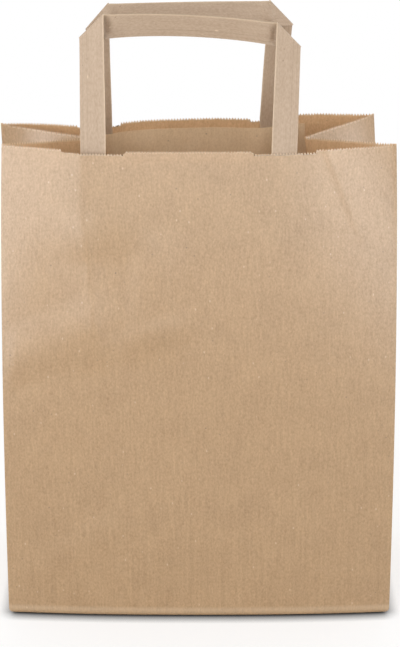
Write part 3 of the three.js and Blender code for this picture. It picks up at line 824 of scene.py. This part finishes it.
class BAG_OT_fold_body(Operator):
    """Folds the sheet of the bag: panels, gussets, serrated rim and block bottom"""

    bl_idname = "paper_bag.fold_body"
    bl_label = "Fold the bag's sheet"

    def execute(self, context):
        settings = context.scene
        sheet = settings.bag_sheet
        bag = FoldedBag(sheet, settings.bag_strap)
        heights = self.row_heights(bag)
        side = heights[: BASE_ROWS + LOWER_ROWS + 1]
        gusset = np.concatenate([side, sheet.depth - side[-2::-1]])
        # A panel's pose or a gusset's hand, the places of its columns across, and the teeth to a column
        spans = (
            (FRONT, 0, np.linspace(-bag.half_width, bag.half_width, FRONT_COLUMNS + 1), 1),
            (None, 1, gusset, 2),
            (BACK, 0, np.linspace(bag.half_width, -bag.half_width, BACK_COLUMNS + 1), 2),
            (None, -1, gusset[::-1], 2),
        )
        columns = sum(len(places) - 1 for _, _, places, _ in spans)
        made = add_grid("folded_sheet", columns, len(heights) - 1)
        self.divide_rim(made)
        column, row = flat_places(made, columns, len(heights) - 1)
        move_vertices(made, self.folded(bag, spans, heights, column, row))
        self.close_tube(made, sheet)
        paper = settings.bag_paper
        glazed = kraft_paper(GLAZED, paper.kraft_dark, paper.kraft_pale, paper)
        made.data.materials.append(kraft_paper(UNGLAZED, paper.inside_dark, paper.inside_pale, paper))
        made.data.materials.append(glazed)
        thicken(made, sheet.paper, -1, outer=1)
        flaps = [self.flap(bag, FRONT, sheet.paper), self.flap(bag, BACK, 0)]
        for flap in flaps:
            flap.data.materials.append(glazed)
        made = join([made, *flaps])
        smooth(made, SHEET_SMOOTH)
        dress(made, "bag_body")
        return {"FINISHED"}

    def row_heights(self, bag):
        """Heights of the rows up the paper: close together round the bottom fold, and even above it."""
        radius = bag.sheet.base_rounding
        curve = radius * (1 - np.cos(np.linspace(0, math.pi / 2, BASE_ROWS + 1)))
        lower = np.linspace(radius, bag.fold, LOWER_ROWS + 1)
        upper = np.linspace(bag.fold, bag.sheet.height, UPPER_ROWS + 1)
        return np.concatenate([curve, lower[1:], upper[1:]])

    def divide_rim(self, made):
        """Divides the edges of the grid's top row, so that they can carry teeth."""
        mesh = made.data
        top = 0.5 - WELD
        for edge in mesh.edges:
            edge.select = all(mesh.vertices[i].co.y > top for i in edge.vertices)
        for vertex in mesh.vertices:
            vertex.select = vertex.co.y > top
        for face in mesh.polygons:
            face.select = False
        bpy.ops.object.mode_set(mode="EDIT")
        bpy.ops.mesh.select_mode(type="EDGE")
        bpy.ops.mesh.subdivide(number_cuts=TOOTH_CUTS, ngon=True)
        bpy.ops.object.mode_set(mode="OBJECT")

    def folded(self, bag, spans, heights, column, row):
        """The folded place of each vertex, from its column and row on the flat sheet."""
        sheet = bag.sheet
        v = np.interp(row, np.arange(len(heights)), heights)
        rim = row == len(heights) - 1
        points = np.empty((len(column), 3))
        chance = np.random.default_rng(SEED)
        start = 0
        for pose, hand, places, teeth in spans:
            count = len(places) - 1
            here = (column >= start) & (column <= start + count)
            share = column[here] - start
            place = np.interp(share, np.arange(count + 1), places)
            cut = np.where(rim[here], self.tooth_cut(sheet, places, teeth, share, chance), 0)
            if pose:
                cut += np.where(rim[here], bag.notch(pose, place), 0)
                points[here] = bag.panel(pose, place, v[here] - cut)
            else:
                points[here] = bag.gusset(hand, place, v[here] - cut)
            if pose is FRONT:
                points[here, 1] -= bag.relief(place, v[here])
            if pose is BACK:
                points[here, 1] += np.where(place > bag.half_width - SEAM_LAP, sheet.paper, 0)
            start += count
        below = np.maximum(0, sheet.base_rounding - v)
        inset = sheet.base_rounding - np.sqrt(np.maximum(0, sheet.base_rounding**2 - below**2))
        points[:, 0] *= 1 - inset / bag.half_width
        points[:, 1] *= 1 - inset / bag.fold
        return points

    def tooth_cut(self, sheet, places, teeth, share, chance):
        """How deep the rim is cut between its uneven teeth, at each share of the span's columns."""
        tooth = np.floor(share * teeth).astype(int)
        up_tooth = 1 - np.abs(2 * (share * teeth - tooth) - 1)
        pitch = np.abs(np.diff(places, append=places[-1:]))[np.floor(share).astype(int)] / teeth
        spread = chance.uniform(*TOOTH_SPREAD, (len(places) - 1) * teeth + 1)
        return spread[tooth] * np.minimum(sheet.tooth_depth, pitch) * (1 - up_tooth)

    def close_tube(self, made, sheet):
        """Merges the glued seam and closes the base."""
        bpy.ops.object.mode_set(mode="EDIT")
        bpy.ops.mesh.select_all(action="SELECT")
        bpy.ops.mesh.remove_doubles(threshold=WELD)
        bpy.ops.mesh.select_all(action="DESELECT")
        bpy.ops.object.mode_set(mode="OBJECT")
        floor = 2 * sheet.paper + WELD
        for edge in made.data.edges:
            edge.select = all(made.data.vertices[i].co.z < floor for i in edge.vertices)
        bpy.ops.object.mode_set(mode="EDIT")
        bpy.ops.mesh.edge_face_add()
        bpy.ops.object.mode_set(mode="OBJECT")
        face_outwards()

    def flap(self, bag, pose, level):
        """A bottom flap, folded in from one panel past the middle, its ends cut along the diagonals."""
        sheet = bag.sheet
        columns, rows = FLAP_GRID
        made = add_grid("bottom_flap", columns, rows)
        column, row = flat_places(made, columns, rows)
        reach = (bag.fold - sheet.base_rounding + sheet.flap_overlap / 2) * row / rows
        half = bag.half_width - sheet.base_rounding - reach
        x = half * (2 * column / columns - 1)
        y = pose.side * (bag.fold - sheet.base_rounding - reach)
        z = np.full_like(x, level + sheet.paper / 2)
        move_vertices(made, np.stack([x, y, z], axis=-1))
        face_outwards()
        thicken(made, sheet.paper, 0)
        return made


class BAG_OT_fold_handles(Operator):
    """Folds the two handles, each one strip turned through two diagonal folds"""

    bl_idname = "paper_bag.fold_handles"
    bl_label = "Fold the handles"

    def execute(self, context):
        settings = context.scene
        bag = FoldedBag(settings.bag_sheet, settings.bag_strap)
        paper = settings.bag_paper
        size = (bag.strap.width, 2 * (bag.strap.leg_glued + FRONT.rise) + FRONT.spacing)
        layered = kraft_paper(STRAP, paper.strap_dark, paper.strap_pale, paper, size)
        for name, pose, node in (("front_strap", FRONT, "front_handle"), ("back_strap", BACK, "back_handle")):
            made = self.strip(bag, name, pose)
            made.data.materials.append(layered)
            smooth(made, STRIP_SMOOTH)
            dress(made, node)
        return {"FINISHED"}

    def strip(self, bag, name, pose):
        """One handle, from the end of its left leg to the end of its right leg."""
        left, right = pose.legs
        leg = self.leg_rows(bag, pose)
        rows = [(left + a, b, c) for a, b, c in leg]
        rows += self.strap_rows(bag, pose)
        rows += [(right - a, b, c) for a, b, c in reversed(leg)]
        made = add_grid(name, STRAP_COLUMNS, len(rows) - 1)
        column, row = np.rint(flat_places(made, STRAP_COLUMNS, len(rows) - 1)).astype(int)
        a, b, c = np.array(rows)[row, :, column].T
        move_vertices(made, bag.handle(pose, a, b, c + bag.strap.thickness / 2))
        face_outwards()
        thicken(made, bag.strap.thickness, 0)
        return made

    def leg_rows(self, bag, pose):
        """Rows up a leg and round its diagonal fold: a from its middle, b above the rim and c inwards."""
        strap = bag.strap
        shoulder = bag.shoulder(pose)
        q = np.linspace(0, 1, STRAP_COLUMNS + 1)
        aside = 2 * q - 1
        half = aside * strap.width / 2
        rows = []
        for b in np.arange(-strap.leg_glued, shoulder, LEG_ROW):
            turn = math.radians(LEG_TWIST) * bag.settled(pose, b)
            rows.append((half * math.cos(turn), np.full_like(q, b), -half * math.sin(turn)))
        for t in np.linspace(0, 1, DIAGONAL_ROWS):
            level = shoulder + t * 2 * bag.twisted_half * q
            rows.append((aside * bag.twisted_half, level, -aside * bag.twist_depth))
        for turn in np.linspace(0, math.pi, FOLD_STEPS)[1:-1]:
            out = math.sin(turn) * bag.behind / 2 * math.sqrt(0.5)
            ahead = (1 - math.cos(turn)) * bag.behind / 2
            fold_a = aside * bag.twisted_half - out
            fold_b = shoulder + 2 * bag.twisted_half * q + out
            rows.append((fold_a, fold_b, ahead - aside * bag.twist_depth))
        return rows

    def strap_rows(self, bag, pose):
        """Rows along the strap between its diagonal folds: a across, b above the rim and c inwards."""
        left, right = pose.legs
        q = np.linspace(0, 1, STRAP_COLUMNS + 1)
        aside = 2 * q - 1
        start = left + aside * bag.twisted_half
        end = right - aside * bag.twisted_half
        drop = (1 - q) * bag.strap.width
        rows = []
        for p in (1 - np.cos(np.linspace(0, math.pi, STRAP_ROWS))) / 2:
            a = start + (end - start) * p
            rolled = LEG_TWIST + (pose.roll - LEG_TWIST) * np.sqrt(bag.between_legs(pose, a))
            turn = np.radians(rolled)
            from_leg = np.minimum(a - left, right - a) - bag.twisted_half
            pinch = STRAP_PINCH * np.exp(-((from_leg / PINCH_REACH) ** 2)) * 4 * q * (1 - q)
            deep = bag.behind + drop * np.sin(turn) - bag.twist_depth + pinch
            rows.append((a, pose.rise - drop * np.cos(turn), deep))
        return rows


class BAG_OT_glue_patches(Operator):
    """Glues a patch inside each panel, over the legs of its handle"""

    bl_idname = "paper_bag.glue_patches"
    bl_label = "Glue the patches"

    def execute(self, context):
        settings = context.scene
        bag = FoldedBag(settings.bag_sheet, settings.bag_strap)
        paper = settings.bag_paper
        stiffened = kraft_paper(PATCH, paper.patch_dark, paper.patch_pale, paper)
        for name, pose, node in (("front_cover", FRONT, "front_patch"), ("back_cover", BACK, "back_patch")):
            made = self.patch(bag, name, pose)
            made.data.materials.append(stiffened)
            smooth(made, STRIP_SMOOTH)
            dress(made, node)
        return {"FINISHED"}

    def patch(self, bag, name, pose):
        """One patch, which follows its panel and steps up over the two legs."""
        strap = bag.strap
        columns, rows = PATCH_GRID
        made = add_grid(name, columns, rows)
        column, row = flat_places(made, columns, rows)
        left, right = pose.legs
        reach = strap.width / 2 + strap.patch_margin
        a = left - reach + (right - left + 2 * reach) * column / columns
        b = -strap.patch_drop - strap.patch_height * (1 - row / rows)
        past = np.min([np.abs(a - leg) for leg in pose.legs], axis=0) - strap.width / 2 - strap.glue_gap
        over = strap.thickness + strap.glue_gap
        c = over * (1 - np.clip(past / strap.patch_ramp, 0, 1))
        move_vertices(made, bag.inside(pose, a, b, c + bag.sheet.paper / 2))
        face_outwards()
        thicken(made, bag.sheet.paper, 0)
        return made


class BAG_OT_set_stage(Operator):
    """Sets the pale floor, the soft light and the camera"""

    bl_idname = "paper_bag.set_stage"
    bl_label = "Set the studio"

    def execute(self, context):
        scene = context.scene
        bpy.ops.object.select_all(action="DESELECT")
        bpy.ops.mesh.primitive_plane_add(size=FLOOR_SIZE)
        floor = context.object
        floor.name = "studio_floor"
        floor.data.materials.append(studio_floor(scene.bag_paper))
        self.add_world(scene)
        for softbox in SOFTBOXES:
            self.add_lamp(softbox)
        self.add_camera(scene)
        scene.view_settings.view_transform = "Standard"
        return {"FINISHED"}

    def add_world(self, scene):
        """Soft light from all round, and plain white where the studio is seen."""
        world = bpy.data.worlds.new("studio")
        world.use_nodes = True
        tree = world.node_tree
        tree.nodes.clear()
        soft = add_node(tree, "ShaderNodeBackground", {"Color": (1, 1, 1, 1), "Strength": WORLD_LEVEL})
        white = add_node(tree, "ShaderNodeBackground", {"Color": (1, 1, 1, 1), "Strength": 1})
        both = add_node(
            tree, "ShaderNodeMixShader", {0: seen_rays(tree), 1: soft.outputs[0], 2: white.outputs[0]}
        )
        add_node(tree, "ShaderNodeOutputWorld", {"Surface": both.outputs[0]})
        scene.world = world

    def add_lamp(self, softbox):
        """Hangs one softbox round the bag."""
        around, above = math.radians(softbox.azimuth), math.radians(softbox.elevation)
        flat = LAMP_DISTANCE * math.cos(above)
        height = LAMP_AIM + LAMP_DISTANCE * math.sin(above)
        place = (flat * math.sin(around), -flat * math.cos(around), height)
        bpy.ops.object.light_add(type="AREA", location=place, rotation=(math.pi / 2 - above, 0, around))
        lamp = bpy.context.object
        lamp.name = softbox.name
        lamp.data.shape = "RECTANGLE"
        lamp.data.size = softbox.width
        lamp.data.size_y = softbox.height
        lamp.data.energy = softbox.level * (math.pi * LAMP_DISTANCE) ** 2

    def add_camera(self, scene):
        """The camera at the photograph's viewing angle."""
        bpy.ops.object.camera_add(location=CAMERA_PLACE, rotation=(math.radians(CAMERA_TILT), 0, 0))
        camera = bpy.context.object
        camera.data.lens = CAMERA_LENS
        camera.data.sensor_width = CAMERA_SENSOR
        scene.camera = camera


class BAG_PT_panel(Panel):
    """The bag's sizes, papers and steps"""

    bl_idname = "BAG_PT_panel"
    bl_label = "Paper Bag"
    bl_space_type = "VIEW_3D"
    bl_region_type = "UI"
    bl_category = "Paper Bag"

    def draw(self, context):
        for group in (context.scene.bag_sheet, context.scene.bag_strap, context.scene.bag_paper):
            box = self.layout.box()
            for name in group.__annotations__:
                box.prop(group, name)
        for step in STEPS:
            self.layout.operator(step.bl_idname)


SETTINGS = {"bag_sheet": SheetSettings, "bag_strap": StrapSettings, "bag_paper": PaperSettings}
STEPS = (BAG_OT_set_stage, BAG_OT_fold_body, BAG_OT_fold_handles, BAG_OT_glue_patches)
CLASSES = (*SETTINGS.values(), *STEPS, BAG_PT_panel)


def register():
    for cls in CLASSES:
        bpy.utils.register_class(cls)
    for name, group in SETTINGS.items():
        setattr(bpy.types.Scene, name, PointerProperty(type=group))


def unregister():
    for name in SETTINGS:
        delattr(bpy.types.Scene, name)
    for cls in reversed(CLASSES):
        bpy.utils.unregister_class(cls)


def main():
    register()
    bpy.ops.paper_bag.set_stage()
    bpy.ops.paper_bag.fold_body()
    bpy.ops.paper_bag.fold_handles()
    bpy.ops.paper_bag.glue_patches()


if __name__ == "__main__":
    main()
